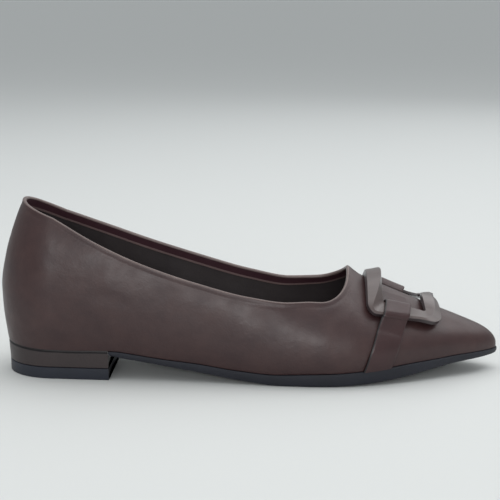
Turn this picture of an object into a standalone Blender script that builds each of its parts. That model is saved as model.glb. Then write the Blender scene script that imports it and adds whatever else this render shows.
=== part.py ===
"""A woman's pointed flat for the right foot: leather upper, low covered heel and a saddle-shaped ring on the vamp.

The frame: +X runs from the heel to the toe, +Y is the medial side, +Z is up. The origin is the middle of the
heel's flat foot, on the floor. Stations along the shoe are shares of its length, from the back to the toe's tip.
"""

import math

import bmesh
import bpy
import numpy as np

# Driving sizes, in metres
LENGTH = 0.252              # back of the counter to the tip of the toe
BALL_WIDTH = 0.076          # the width that the plan's shares are taken of
HEEL_HEIGHT = 0.0165        # floor to the seat, at the back
TOE_SPRING = 0.0087         # floor to the sole under the toe's tip
COLLAR_HEIGHT = 0.0874      # floor to the top line, at the back
INSTEP_HEIGHT = 0.0515      # floor to the ridge at the throat
TOE_WALL = 0.0014           # height of the upper's wall at the very tip
WALL = 0.0017               # leather and lining together
CLEARANCE = 0.0003          # between pieces that meet

SOLE_THICKNESS = 0.0068     # outsole at the ball
SOLE_RIM = 0.0006           # how far the outsole stands out past the upper
SOLE_BEVEL = 0.0012         # outsole's lower edge
LIFT_BEVEL = 0.0004         # top lift's lower edge
INSOLE_THICKNESS = 0.0030

HEEL_CENTRE = 0.0297        # from the back of the counter to the middle of the heel's curve
HEEL_BREAST = 0.0565        # from the back of the counter to the heel's front face
HEEL_SET_BACK = 0.0275      # plan radius of the seat's edge at the back
COUNTER_BULGE = 0.0022      # how far the counter stands out past the seat at the back
COUNTER_BULGE_AT = 0.0285   # height of that above the seat
COUNTER_RIDGE = 0.1110      # floor to where the counter's arch would close, over the heel's centre
COUNTER_ARCH = 1.42         # exponent of that arch
TOP_LIFT = 0.0058
BREAST_HOLLOW = 0.0016
HEEL_DRAFT = 0.0006         # how much the heel narrows from seat to top lift, each side

THROAT = 0.698              # station of the throat
THROAT_ROUND = 0.024        # length of the throat's curve
THROAT_SQUARE = 3.2         # exponent of the throat's curve, 2 is an ellipse

# Station, then the lateral edge, the medial edge and the ridge, as shares of BALL_WIDTH
PLAN_ROWS = [
    (0.118, -0.322, 0.322, 0.000),
    (0.20, -0.340, 0.332, 0.000),
    (0.30, -0.350, 0.318, 0.005),
    (0.40, -0.370, 0.322, 0.015),
    (0.50, -0.405, 0.365, 0.035),
    (0.58, -0.435, 0.425, 0.055),
    (0.64, -0.445, 0.480, 0.070),
    (0.70, -0.430, 0.515, 0.080),
    (0.75, -0.392, 0.510, 0.085),
    (0.80, -0.335, 0.470, 0.085),
    (0.86, -0.250, 0.385, 0.085),
    (0.92, -0.150, 0.280, 0.080),
    (0.96, -0.078, 0.205, 0.075),
    (0.985, -0.015, 0.145, 0.070),
    (1.00, 0.068, 0.068, 0.068),
]
# Station, underside as a share of HEEL_HEIGHT, and of TOE_SPRING, and outsole as a share of SOLE_THICKNESS
SOLE_ROWS = [
    (0.00, 1.00, 0.00, 0.00),
    (0.118, 0.92, 0.00, 0.00),
    (0.21, 0.82, 0.00, 0.25),
    (0.25, 0.70, 0.00, 0.48),
    (0.32, 0.52, 0.00, 0.52),
    (0.40, 0.325, 0.00, 0.66),
    (0.48, 0.125, 0.00, 0.74),
    (0.56, 0.00, 0.00, 0.86),
    (0.66, 0.00, 0.00, 1.00),
    (0.72, 0.00, 0.08, 1.02),
    (0.80, 0.00, 0.31, 0.99),
    (0.86, 0.00, 0.60, 0.78),
    (0.92, 0.00, 0.84, 0.60),
    (1.00, 0.00, 1.00, 0.43),
]
# Station, ridge height as a share of INSTEP_HEIGHT, bulge of the lateral and medial walls and height of the
# bulge as shares of BALL_WIDTH, and the exponent of the arch, where 2 is an ellipse and less is steeper
FORM_ROWS = [
    (0.118, 1.95, 0.050, 0.050, 0.330, 1.85),
    (0.22, 1.87, 0.050, 0.044, 0.280, 1.90),
    (0.32, 1.75, 0.044, 0.038, 0.230, 1.95),
    (0.42, 1.57, 0.038, 0.033, 0.185, 1.95),
    (0.52, 1.36, 0.036, 0.033, 0.150, 1.90),
    (0.60, 1.17, 0.034, 0.033, 0.125, 1.82),
    (0.698, 1.014, 0.030, 0.032, 0.110, 1.74),
    (0.722, 0.930, 0.028, 0.031, 0.108, 1.73),
    (0.76, 0.842, 0.024, 0.028, 0.105, 1.72),
    (0.82, 0.720, 0.018, 0.022, 0.090, 1.76),
    (0.88, 0.603, 0.012, 0.015, 0.070, 1.90),
    (0.94, 0.490, 0.007, 0.008, 0.045, 2.20),
    (0.98, 0.398, 0.003, 0.003, 0.022, 2.30),
    (1.00, None, 0.0, 0.0, 0.010, 2.20),
]
# Station, then the top line's height on the lateral and medial sides, as shares of COLLAR_HEIGHT
TOP_ROWS = [
    (0.118, 0.919, 0.892),
    (0.20, 0.790, 0.804),
    (0.30, 0.662, 0.704),
    (0.40, 0.567, 0.614),
    (0.50, 0.495, 0.527),
    (0.58, 0.465, 0.481),
    (0.64, 0.470, 0.485),
    (0.698, 0.530, 0.535),
]

# The ring on the vamp, a link of lacquered board bent over it like a saddle
RING_FROM_THROAT = 0.0079   # from the throat to the ring's rear edge
RING_LENGTH = 0.0368        # from there to its front edge
RING_BACK_WIDTH = 0.0520
RING_FRONT_WIDTH = 0.0400
RING_BACK_CENTRE = 0.0015   # how far medial its middle lies at the rear edge
RING_FRONT_CENTRE = 0.0035  # the same at the front edge
RING_BARS = {"back": 0.0082, "front": 0.0070, "side": 0.0068}       # width of its bars
RING_RIDGES = {"back": 0.0014, "front": 0.0056, "side": 0.0011}     # from the outer edge in to a bar's ridge
RING_SWEEP = 0.0046         # how much further forward the ridge runs at the bars' middle than at their ends
RING_HOLLOW = 0.0016        # how far back the opening's edges sweep at the bars' middle
RING_THICKNESS = 0.0026     # at the ridge
RING_CROWN = 0.0041         # how much thicker the rear bar is at its middle
RING_WALL = 0.0022          # thickness left at the outer edge
RING_EDGE = 0.0014          # thickness left at the opening's edge
RING_CORNER = 0.0050        # radius of its outer corners
RING_INNER_CORNER = 0.0014
# Share of the ring's length, then the gap under its lateral side, middle and medial side, in ring thicknesses
RING_ROWS = [
    (0.0, 0.60, 0.60, 0.70),
    (0.55, 1.25, 0.75, 0.15),
    (0.75, 1.65, 0.60, 0.80),
    (1.0, 2.10, 0.40, 4.30),
]

# A strap each side, from the sole's edge over the ring's side bar and down into its window
STRAP_WIDTH = 0.0127
STRAP_THICKNESS = 0.0012
STRAP_DIVE = 0.0030         # from the bar's inner edge to where a strap reaches the upper
STRAP_RELEASE = 0.0030      # how far outside the ring the strap leaves the upper
STRAP_LIFT = 0.0004         # how far it has risen by then
# Side, how far from the ring's rear edge the strap's middle crosses the bar, its lean: run back over drop, and
# how far it runs on past where it reaches the upper
STRAP_ROWS = {
    -1: {"name": "strap_lateral", "at_ring": 0.0142, "lean": 0.33, "tail": 0.0090},
    1: {"name": "strap_medial", "at_ring": 0.0142, "lean": 0.24, "tail": 0.0020},
}
FOOT_SHARE = 0.2            # share of a section's parameter that its foot, below the bulge, takes


def nose(station):
    """A measure of the station that runs faster towards the toe's tip, so that what is smooth in it is round there."""
    return 1 - np.sqrt(np.clip(1 - np.asarray(station, float), 0, 1))


def curve(rows, column, station):
    """A smooth curve through one column of a table, with no overshoot between its rows (PCHIP)."""
    x = nose([row[0] for row in rows])
    y = np.array([row[column] for row in rows], float)
    run, slope = np.diff(x), np.diff(y) / np.diff(x)
    tangent = np.concatenate([[slope[0]], np.zeros(len(x) - 2), [slope[-1]]])
    for i in range(1, len(x) - 1):
        if slope[i - 1] * slope[i] > 0:
            a, b = 2 * run[i] + run[i - 1], run[i] + 2 * run[i - 1]
            tangent[i] = (a + b) / (a / slope[i - 1] + b / slope[i])
    at = np.clip(nose(station), x[0], x[-1])
    i = np.clip(np.searchsorted(x, at, side="right") - 1, 0, len(x) - 2)
    t = (at - x[i]) / run[i]
    return (
        (1 + 2 * t) * (1 - t) ** 2 * y[i]
        + t * (1 - t) ** 2 * run[i] * tangent[i]
        + t * t * (3 - 2 * t) * y[i + 1]
        + t * t * (t - 1) * run[i] * tangent[i + 1]
    )


def blend(low, high, at):
    """0 below low, 1 above high, and smooth between."""
    t = np.clip((np.asarray(at, float) - low) / (high - low), 0, 1)
    return t * t * (3 - 2 * t)


def underside(s):
    """Height of the sole's underside, s metres from the back."""
    return curve(SOLE_ROWS, 1, s / LENGTH) * HEEL_HEIGHT + curve(SOLE_ROWS, 2, s / LENGTH) * TOE_SPRING


def seat(s):
    """Height of the surface that the upper and insole stand on."""
    return underside(s) + curve(SOLE_ROWS, 3, s / LENGTH) * SOLE_THICKNESS


def edge(s, side):
    """Y of the upper's lower edge on one side, -1 lateral and 1 medial."""
    return curve(PLAN_ROWS, 1 if side < 0 else 2, s / LENGTH) * BALL_WIDTH


def ridge(s):
    """Y of the ridge, where the two sides of the last meet."""
    return curve(PLAN_ROWS, 3, s / LENGTH) * BALL_WIDTH


def ridge_height(s):
    tip = (seat(LENGTH) + TOE_WALL) / INSTEP_HEIGHT
    rows = [row if row[1] is not None else (row[0], tip) for row in FORM_ROWS]
    return curve([row[:2] for row in rows], 1, s / LENGTH) * INSTEP_HEIGHT


def form(s, side):
    """Bulge of the wall, its height above the seat, the arch's rise above that, and its exponent."""
    share = s / LENGTH
    bulge = curve(FORM_ROWS, 2 if side < 0 else 3, share) * BALL_WIDTH
    bulge_at = curve(FORM_ROWS, 4, share) * BALL_WIDTH
    return bulge, bulge_at, ridge_height(s) - seat(s) - bulge_at, curve(FORM_ROWS, 5, share)


def arch(t, width, bulge, bulge_at, rise, exponent):
    """(out, up) on a half-section from its foot, t 0, to its ridge, t 1: a foot that bulges, then a superellipse."""
    low = np.clip(t / FOOT_SHARE, 0, 1)
    angle = np.clip((t - FOOT_SHARE) / (1 - FOOT_SHARE), 0, 1) * math.pi / 2
    power = 2 / exponent
    out = np.where(
        t < FOOT_SHARE,
        width + bulge * (1 - (1 - low) ** 2),
        (width + bulge) * np.abs(np.cos(angle)) ** power,
    )
    up = np.where(t < FOOT_SHARE, bulge_at * low, bulge_at + rise * np.sin(angle) ** power)
    return out, up


def last(s, t, side):
    """A point of the upper's outer surface forward of the heel's centre: s metres from the back, t up one side."""
    s, t = np.broadcast_arrays(np.asarray(s, float), np.asarray(t, float))
    out, up = arch(t, np.abs(edge(s, side) - ridge(s)), *form(s, side))
    return np.stack([s, ridge(s) + side * out, seat(s) + up], -1)


def counter(turn, t, side):
    """A point of the outer surface round the back: turn 0 is at the heel's centre and pi / 2 at the very back."""
    turn, t = np.broadcast_arrays(np.asarray(turn, float), np.asarray(t, float))
    back = np.sin(turn) ** 2
    bulge, bulge_at, rise, exponent = form(HEEL_CENTRE, side)
    width = np.abs(edge(HEEL_CENTRE, side)) * (1 - back) + HEEL_SET_BACK * back
    seat_here = seat(HEEL_CENTRE) * (1 - back) + HEEL_HEIGHT * back
    bulge_here = bulge * (1 - back) + COUNTER_BULGE * back
    bulge_at_here = bulge_at * (1 - back) + COUNTER_BULGE_AT * back
    rise_here = ridge_height(HEEL_CENTRE) * (1 - back) + COUNTER_RIDGE * back - seat_here - bulge_at_here
    out, up = arch(t, width, bulge_here, bulge_at_here, rise_here, exponent * (1 - back) + COUNTER_ARCH * back)
    return np.stack([HEEL_CENTRE - out * np.sin(turn), side * out * np.cos(turn), seat_here + up], -1)


def arch_parameter(height, bulge_at, rise, exponent):
    """The t at which a half-section reaches a height above the seat."""
    share = np.clip((height - bulge_at) / rise, 0, 1) ** (exponent / 2)
    return FOOT_SHARE + (1 - FOOT_SHARE) * np.arcsin(share) / (math.pi / 2)


def top_parameter(s, side):
    """The t of the top line, forward of the heel's centre."""
    s = np.asarray(s, float)
    height = curve(TOP_ROWS, 1 if side < 0 else 2, s / LENGTH) * COLLAR_HEIGHT
    bulge, bulge_at, rise, exponent = form(s, side)
    width = np.abs(edge(s, side) - ridge(s))
    by_height = arch_parameter(height - seat(s), bulge_at, rise, exponent)
    start = THROAT * LENGTH - THROAT_ROUND
    wide = last(start, top_of_wall(start, side), side)[..., 1] - ridge(start)
    along = np.clip((s - start) / THROAT_ROUND, 0, 1)
    out = np.abs(wide) * (1 - along**THROAT_SQUARE) ** (1 / THROAT_SQUARE)
    angle = np.arccos(np.clip(out / (width + bulge), 0, 1) ** (exponent / 2))
    by_plan = FOOT_SHARE + (1 - FOOT_SHARE) * angle / (math.pi / 2)
    share = blend(start, start + 0.6 * THROAT_ROUND, s)
    return by_height * (1 - share) + by_plan * share


def top_of_wall(s, side):
    """The t at which the wall reaches the height that TOP_ROWS gives."""
    height = curve(TOP_ROWS, 1 if side < 0 else 2, s / LENGTH) * COLLAR_HEIGHT
    _, bulge_at, rise, exponent = form(s, side)
    return arch_parameter(height - seat(s), bulge_at, rise, exponent)


def wall_parameters(s, side, shares):
    """The t of each row of the wall. The lower rows pay no heed to the throat's curve, so that they run smooth."""
    throat = THROAT * LENGTH
    top = float(top_parameter(s, side)) if s < throat else 1.0
    calm = float(top_of_wall(min(s, throat), side))
    calm += (1 - calm) * float(blend(throat - 2 * THROAT_ROUND, throat + THROAT_ROUND, s))
    calm = min(calm, 1.15 * top)
    return [share * (calm + (top - calm) * share**3) for share in shares]


def counter_top(turn, side):
    """The t of the top line round the back."""
    back = np.sin(turn) ** 2
    _, bulge_at, _, exponent = form(HEEL_CENTRE, side)
    start = curve(TOP_ROWS, 1 if side < 0 else 2, HEEL_CENTRE / LENGTH) * COLLAR_HEIGHT
    height = start + (COLLAR_HEIGHT - start) * np.sin(turn)
    seat_here = seat(HEEL_CENTRE) * (1 - back) + HEEL_HEIGHT * back
    bulge_at_here = bulge_at * (1 - back) + COUNTER_BULGE_AT * back
    rise_here = ridge_height(HEEL_CENTRE) * (1 - back) + COUNTER_RIDGE * back - seat_here - bulge_at_here
    exponent_here = exponent * (1 - back) + COUNTER_ARCH * back
    return arch_parameter(height - seat_here, bulge_at_here, rise_here, exponent_here)


def unit(v):
    return v / np.linalg.norm(v, axis=-1, keepdims=True)


def outward(s, t, side):
    """Unit normal of the upper's outer surface forward of the heel's centre."""
    ds, dt = 1e-5, 1e-4
    along = last(s + ds, t, side) - last(s - ds, t, side)
    up = last(s, np.minimum(t + dt, 1), side) - last(s, np.maximum(t - dt, 0), side)
    return unit(np.cross(along, up)) * -side


def parameter_at(s, y):
    """The t and side of the upper's surface over a point in plan, on its arch."""
    side = -1 if y < ridge(s) else 1
    bulge, _, _, exponent = form(s, side)
    share = np.clip(abs(y - ridge(s)) / (np.abs(edge(s, side) - ridge(s)) + bulge), 0, 1)
    return FOOT_SHARE + (1 - FOOT_SHARE) * float(np.arccos(share ** (exponent / 2))) / (math.pi / 2), side


def upper_height(s, y):
    t, side = parameter_at(s, y)
    return float(last(s, t, side)[..., 2])


# The ring's own measure: p runs forward from its rear edge and q across it from its middle


def ring_back():
    """How far the ring's rear edge is from the back of the counter."""
    return THROAT * LENGTH + RING_FROM_THROAT


def ring_half(p):
    return (RING_BACK_WIDTH + (RING_FRONT_WIDTH - RING_BACK_WIDTH) * p / RING_LENGTH) / 2


def ring_gap(column, p):
    """The gap under the ring's lateral side, middle or medial side."""
    return float(curve(RING_ROWS, column, p / RING_LENGTH)) * RING_THICKNESS


def ring_base(p, q):
    """A point of the ring's underside: an arc over the upper, through the gaps under its middle and two sides."""
    s = ring_back() + p
    half = ring_half(p)
    centre = RING_BACK_CENTRE + (RING_FRONT_CENTRE - RING_BACK_CENTRE) * p / RING_LENGTH
    lateral = upper_height(s, centre - half) + ring_gap(1, p)
    middle = upper_height(s, centre) + ring_gap(2, p)
    medial = upper_height(s, centre + half) + ring_gap(3, p)
    v = q / half
    z = middle + (medial - lateral) / 2 * v + ((medial + lateral) / 2 - middle) * v * v
    return np.array([s, centre + q, z])


def ring_point(p, q, height):
    """The same, raised at right angles to the underside."""
    d = 1e-4
    along = ring_base(p + d, q) - ring_base(p - d, q)
    across = ring_base(p, q + d) - ring_base(p, q - d)
    return ring_base(p, q) + unit(np.cross(along, across)) * height


def ring_loop(insets, corner, height, sweep=0.0, crown=0.0, sides=6, turns=4):
    """A closed loop round the ring, inset from its outer edge and raised from its underside, as points."""
    first, final = insets["back"], RING_LENGTH - insets["front"]
    corners = []
    for p_end, q_end, quarter in ((1, 1, 0), (0, 1, 1), (0, -1, 2), (1, -1, 3)):
        for i in range(turns + 1):
            angle = math.pi / 2 * (quarter + i / turns)
            p = (final - corner if p_end else first + corner) + corner * math.cos(angle)
            q = q_end * (ring_half(p) - insets["side"] - corner) + corner * math.sin(angle)
            corners.append((p, q))
    route = []
    for i, (p, q) in enumerate(corners):
        route.append((p, q))
        if i % (turns + 1) == turns:
            p_next, q_next = corners[(i + 1) % len(corners)]
            route += [(p + (p_next - p) * k / sides, q + (q_next - q) * k / sides) for k in range(1, sides)]
    points = []
    for p, q in route:
        middle = 1 - min(abs(q) / (ring_half(p) - insets["side"]), 1) ** 2
        rear = 1 - p / RING_LENGTH
        points.append(ring_point(p + sweep * middle * (0.6 + 0.4 * rear), q, height + crown * middle * rear))
    return points


def ring_loops():
    """The edges of the ring's bars, from the outer foot over the ridge to the inner foot."""
    edge_of = {"back": 0.0, "front": 0.0, "side": 0.0}
    return [
        ring_loop(edge_of, RING_CORNER, 0.0),
        ring_loop(edge_of, RING_CORNER, RING_WALL),
        ring_loop(RING_RIDGES, RING_CORNER * 0.7, RING_THICKNESS, RING_SWEEP, RING_CROWN),
        ring_loop(RING_BARS, RING_INNER_CORNER, RING_EDGE, -RING_HOLLOW, RING_CROWN),
        ring_loop(RING_BARS, RING_INNER_CORNER, 0.0, -RING_HOLLOW),
    ]


def strap_path(side, offset):
    """One lengthwise line of a strap's underside, from its foot to its tail, offset along the shoe from its middle."""
    row = STRAP_ROWS[side]
    p = row["at_ring"] + offset
    crest = ring_point(p, side * (ring_half(p) - RING_RIDGES["side"]), RING_THICKNESS)[2]

    def over_ring(inset, height):
        z = ring_point(p, side * (ring_half(p) - inset), height)[2]
        back = row["lean"] * (crest - z)
        return ring_point(p - back, side * (ring_half(p - back) - inset), height + CLEARANCE)

    edge_point = ring_base(p, side * (ring_half(p) + STRAP_RELEASE))
    release, _ = parameter_at(*edge_point[:2])
    points = []
    for share in np.linspace(0, 1, 9):
        t = release * share
        s = ring_back() + p
        for _ in range(4):
            s = ring_back() + p - row["lean"] * (crest - float(last(s, t, side)[..., 2]))
        away = outward(s, t, side)
        if share == 0:
            away = unit(away * [1, 1, 0])
        points.append(last(s, t, side) + away * (CLEARANCE + STRAP_LIFT * share**2))
    points.append(over_ring(-0.0009, RING_WALL * 0.5))
    points.append(over_ring(-0.0005, RING_WALL - 0.0001))
    points.append(over_ring(0.0004, RING_THICKNESS + 0.0001))
    points.append(over_ring(RING_RIDGES["side"] + 0.0006, RING_THICKNESS + 0.0001))
    points.append(over_ring(RING_BARS["side"] + 0.0003, RING_EDGE + 0.0002))
    for run in (0.0, 1.0):
        plan = ring_base(p, side * (ring_half(p) - RING_BARS["side"] - STRAP_DIVE - row["tail"] * run))
        t, own = parameter_at(*plan[:2])
        points.append(last(plan[0], t, own) + outward(plan[0], t, own) * CLEARANCE)
    return points


def in_frame(points):
    """From metres forward of the back to the part's frame, whose origin is the middle of the heel's foot."""
    return np.asarray(points) - [HEEL_CENTRE, 0, 0]


def new_object(name, mesh, colour, roughness):
    """Closes a bmesh into an object of its own, shaded smooth, with a plain material."""
    bmesh.ops.recalc_face_normals(mesh, faces=mesh.faces)
    if mesh.calc_volume(signed=True) < 0:
        bmesh.ops.reverse_faces(mesh, faces=mesh.faces)
    data = bpy.data.meshes.new(name)
    mesh.to_mesh(data)
    mesh.free()
    data.shade_smooth()
    data.set_sharp_from_angle(angle=math.radians(35))
    material = bpy.data.materials.new(name)
    material.use_nodes = True
    shader = material.node_tree.nodes["Principled BSDF"]
    shader.inputs["Base Color"].default_value = (*colour, 1)
    shader.inputs["Roughness"].default_value = roughness
    data.materials.append(material)
    obj = bpy.data.objects.new(name, data)
    bpy.context.collection.objects.link(obj)
    return obj


# The upper

BACK_COLUMNS = 9            # round the counter, each side
QUARTER_COLUMNS = 14        # along the quarter
THROAT_COLUMNS = 9          # round the throat
VAMP_COLUMNS = 22           # from the throat to the toe
WALL_ROWS = [0, 0.07, 0.14, 0.2, 0.3, 0.42, 0.55, 0.68, 0.8, 0.91, 1]


def upper_columns(side):
    """The columns of one side from the very back to the toe's tip, and the number of the throat's."""
    throat = THROAT * LENGTH
    start = throat - THROAT_ROUND
    columns = []
    for i in range(BACK_COLUMNS):
        turn = math.pi / 2 * (1 - i / BACK_COLUMNS)
        top = counter_top(turn, side)
        columns.append([counter(turn, v * top, side) for v in WALL_ROWS])
    stations = list(np.linspace(HEEL_CENTRE, start, QUARTER_COLUMNS, endpoint=False))
    stations += [throat - THROAT_ROUND * (1 - i / THROAT_COLUMNS) ** 2 for i in range(THROAT_COLUMNS)]
    for i in range(VAMP_COLUMNS + 1):
        stations.append(throat + (LENGTH - throat) * (1 - (1 - i / VAMP_COLUMNS) ** 1.7))
    for s in stations:
        columns.append([last(s, t, side) for t in wall_parameters(s, side, WALL_ROWS)])
    return columns, len(columns) - VAMP_COLUMNS - 1


def build_upper():
    """One hollow wall: two sides that share the back, the tip and the ridge forward of the throat."""
    mesh = bmesh.new()
    outer = {}
    count = 0
    for side in (-1, 1):
        columns, throat = upper_columns(side)
        count = len(columns)
        for i, column in enumerate(columns):
            for j, point in enumerate(column):
                shared = i in (0, count - 1) or (j == len(WALL_ROWS) - 1 and i >= throat)
                key = (0 if shared else side, i, j)
                if key not in outer:
                    outer[key] = mesh.verts.new(in_frame(point))
                outer[(side, i, j)] = outer[key]
    for side in (-1, 1):
        for i in range(count - 1):
            for j in range(len(WALL_ROWS) - 1):
                corners = [outer[(side, a, b)] for a, b in ((i, j), (i + 1, j), (i + 1, j + 1), (i, j + 1))]
                mesh.faces.new(corners[::-side])
    mesh.normal_update()

    inner = {}
    for vertex in list(mesh.verts):
        inner[vertex] = mesh.verts.new(vertex.co - vertex.normal * WALL)
    top_row = len(WALL_ROWS) - 1
    foot = [outer[(-1, i, 0)] for i in range(count)] + [outer[(1, i, 0)] for i in range(count - 2, 0, -1)]
    collar = [outer[(-1, i, top_row)] for i in range(throat + 1)]
    collar += [outer[(1, i, top_row)] for i in range(throat - 1, 0, -1)]
    for vertex in foot:
        level = vertex.normal.copy()
        level.z = 0
        inner[vertex].co = vertex.co - level.normalized() * WALL
    for face in list(mesh.faces):
        mesh.faces.new([inner[v] for v in reversed(face.verts)])

    # The top edge is turned over the lining, so it is round
    crest = []
    for i, vertex in enumerate(collar):
        along = (collar[(i + 1) % len(collar)].co - collar[i - 1].co).normalized()
        away = along.cross(vertex.normal)
        crest.append(mesh.verts.new((vertex.co + inner[vertex].co) / 2 - away * WALL * 0.4))
    for i in range(len(collar)):
        j = (i + 1) % len(collar)
        mesh.faces.new((collar[i], collar[j], crest[j], crest[i]))
        mesh.faces.new((crest[i], crest[j], inner[collar[j]], inner[collar[i]]))
    for i in range(len(foot)):
        j = (i + 1) % len(foot)
        mesh.faces.new((foot[i], foot[j], inner[foot[j]], inner[foot[i]]))
    return new_object("upper", mesh, (0.062, 0.042, 0.044), 0.42)


# The slabs under it: insole, outsole, heel and top lift

FAN_COLUMNS = 9             # round the heel, each side
SHANK_COLUMNS = 5           # from the heel's centre to its breast
FOREPART_COLUMNS = 30       # from the breast to the toe
INSOLE_END = 0.003          # how far short of the toe's tip the insole's own tip stays


def plan_point(s, side, out):
    """A point of the foot's outline, moved out at right angles to it, forward of the heel's centre."""
    ahead, behind = min(s + 1e-5, LENGTH), s - 1e-5
    run = unit(np.array([ahead - behind, edge(ahead, side) - edge(behind, side)]))
    return np.array([s - side * out * run[1], edge(s, side) + side * out * run[0]])


def fan_point(turn, side, out):
    """The same round the back of the heel."""
    away = np.array([-math.sin(turn), side * math.cos(turn)])
    return counter(turn, 0, side)[:2] + away * out


def heel_side(side, out, height):
    """One side of the heel from the very back to its breast. The height is a function of station and turn."""
    points = []
    for i in range(FAN_COLUMNS):
        turn = math.pi / 2 * (1 - i / FAN_COLUMNS)
        points.append([*fan_point(turn, side, out), height(HEEL_CENTRE, turn)])
    for s in np.linspace(HEEL_CENTRE, HEEL_BREAST, SHANK_COLUMNS):
        points.append([*plan_point(s, side, out), height(s, 0)])
    return points


def forepart_side(side, out, height, start):
    """One side of the foot from the toe's tip back to a station near the breast."""
    points = [[LENGTH + out, float(edge(LENGTH, side)), height(LENGTH, 0)]]
    for i in range(1, FOREPART_COLUMNS + 1):
        s = LENGTH - (LENGTH - start) * (i / FOREPART_COLUMNS) ** 1.6
        points.append([*plan_point(s, side, out), height(s, 0)])
    return points


def breast(out, height, ahead):
    """Points across the heel's hollowed breast, between its two edges."""
    ends = [plan_point(HEEL_BREAST, side, out) for side in (-1, 1)]
    points = []
    for share in np.linspace(0, 1, 9)[1:-1]:
        x, y = ends[0] * (1 - share) + ends[1] * share
        hollow = BREAST_HOLLOW * (1 - (2 * share - 1) ** 2)
        points.append([x - hollow + ahead, y, height(HEEL_BREAST, 0)])
    return points


def seat_height(drop):
    """A height function: the seat, less a drop, higher round the back of the heel."""

    def height(s, turn):
        back = math.sin(turn) ** 2
        return float(seat(s)) * (1 - back) + HEEL_HEIGHT * back - drop

    return height


def sole_height(rise):
    return lambda s, turn: float(underside(s)) + rise


def level_height(z):
    return lambda s, turn: z


def cap(mesh, ring, paired):
    """Closes a ring whose first point is on both sides: a ladder between the sides, then what is left as one face."""
    count = len(ring)
    for i in range(paired):
        corners = [ring[i], ring[i + 1], ring[count - i - 1], ring[(count - i) % count]]
        mesh.faces.new([v for k, v in enumerate(corners) if v not in corners[:k]])
    rest = ring[paired : count - paired + 1]
    if len(rest) > 2:
        bmesh.ops.triangulate(mesh, faces=[mesh.faces.new(rest)])


def slab(name, levels, paired, colour, roughness):
    """A solid between rings of points, one for each level. paired is the number of steps along its two sides."""
    mesh = bmesh.new()
    rings = [[mesh.verts.new(in_frame(point)) for point in ring] for ring in levels]
    for low, high in zip(rings, rings[1:]):
        for i in range(len(low)):
            j = (i + 1) % len(low)
            mesh.faces.new((low[i], low[j], high[j], high[i]))
    cap(mesh, rings[0], paired)
    cap(mesh, rings[-1], paired)
    return new_object(name, mesh, colour, roughness)


def heel_ring(out, height):
    lateral, medial = (heel_side(side, out, height) for side in (-1, 1))
    return lateral + breast(out, height, 0) + medial[:0:-1]


def build_heel():
    """The leather-covered block, and the rubber top lift that it stands on."""
    steps = FAN_COLUMNS + SHANK_COLUMNS - 1
    block = [
        heel_ring(-HEEL_DRAFT, level_height(TOP_LIFT + CLEARANCE)),
        heel_ring(0, seat_height(CLEARANCE)),
    ]
    slab("heel_block", block, steps, (0.045, 0.036, 0.038), 0.45)
    lift = [
        heel_ring(-HEEL_DRAFT - LIFT_BEVEL, level_height(0)),
        heel_ring(-HEEL_DRAFT, level_height(LIFT_BEVEL)),
        heel_ring(-HEEL_DRAFT, level_height(TOP_LIFT)),
    ]
    slab("top_lift", lift, steps, (0.022, 0.023, 0.028), 0.55)


def build_outsole():
    def ring(out, height):
        start = HEEL_BREAST + CLEARANCE
        lateral, medial = (forepart_side(side, out, height, start) for side in (-1, 1))
        return lateral + breast(out, height, CLEARANCE) + medial[:0:-1]

    levels = [
        ring(SOLE_RIM - SOLE_BEVEL, sole_height(0)),
        ring(SOLE_RIM, sole_height(SOLE_BEVEL)),
        ring(SOLE_RIM, seat_height(CLEARANCE)),
    ]
    return slab("outsole", levels, FOREPART_COLUMNS, (0.020, 0.021, 0.026), 0.5)


def build_insole():
    """It lies on the outsole and heel, inside the upper's wall."""
    inside = -WALL - CLEARANCE

    def ring(height):
        sides = []
        for side in (-1, 1):
            ahead = forepart_side(side, inside, height, HEEL_BREAST)[:0:-1]
            ahead = [point for point in ahead if point[0] < LENGTH + inside - INSOLE_END]
            sides.append(heel_side(side, inside, height)[:-1] + ahead)
        lateral, medial = sides
        paired = min(len(lateral), len(medial))
        lateral, medial = lateral[:paired], medial[:paired]
        return lateral + medial[:0:-1], paired - 1

    bottom, paired = ring(seat_height(0))
    top, _ = ring(seat_height(-INSOLE_THICKNESS))
    return slab("insole", [bottom, top], paired, (0.030, 0.026, 0.027), 0.6)


# The ring and its straps


def skin(mesh, rings, closed):
    """Faces between neighbouring rings of vertices."""
    for low, high in zip(rings, rings[1:]):
        for i in range(len(low) - (0 if closed else 1)):
            j = (i + 1) % len(low)
            mesh.faces.new((low[i], low[j], high[j], high[i]))


def build_ring():
    mesh = bmesh.new()
    rings = [[mesh.verts.new(in_frame(point)) for point in loop] for loop in ring_loops()]
    skin(mesh, [*rings, rings[0]], closed=True)
    return new_object("buckle_ring", mesh, (0.155, 0.135, 0.133), 0.35)


def build_strap(side):
    """A flat band: lines along it side by side, and their copies one thickness out."""
    mesh = bmesh.new()
    offsets = np.linspace(-0.5, 0.5, 5) * STRAP_WIDTH
    under = np.array([strap_path(side, offset) for offset in offsets])
    along = np.gradient(under, axis=1)
    across = np.gradient(under, axis=0)
    away = unit(np.cross(across, along)) * -side
    over = under + away * STRAP_THICKNESS
    over[:, 0, 2] = under[:, 0, 2]
    grids = []
    for grid in (under, over):
        grids.append([[mesh.verts.new(in_frame(point)) for point in line] for line in grid])
    sections = []
    for k in range(under.shape[1]):
        low = [line[k] for line in grids[0]]
        high = [line[k] for line in grids[1]]
        sections.append(low + high[::-1])
    skin(mesh, sections, closed=True)
    for section in (sections[0], sections[-1]):
        count = len(section)
        for i in range(len(offsets) - 1):
            mesh.faces.new((section[i], section[i + 1], section[count - i - 2], section[count - i - 1]))
    return new_object(STRAP_ROWS[side]["name"], mesh, (0.075, 0.052, 0.054), 0.42)


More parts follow.
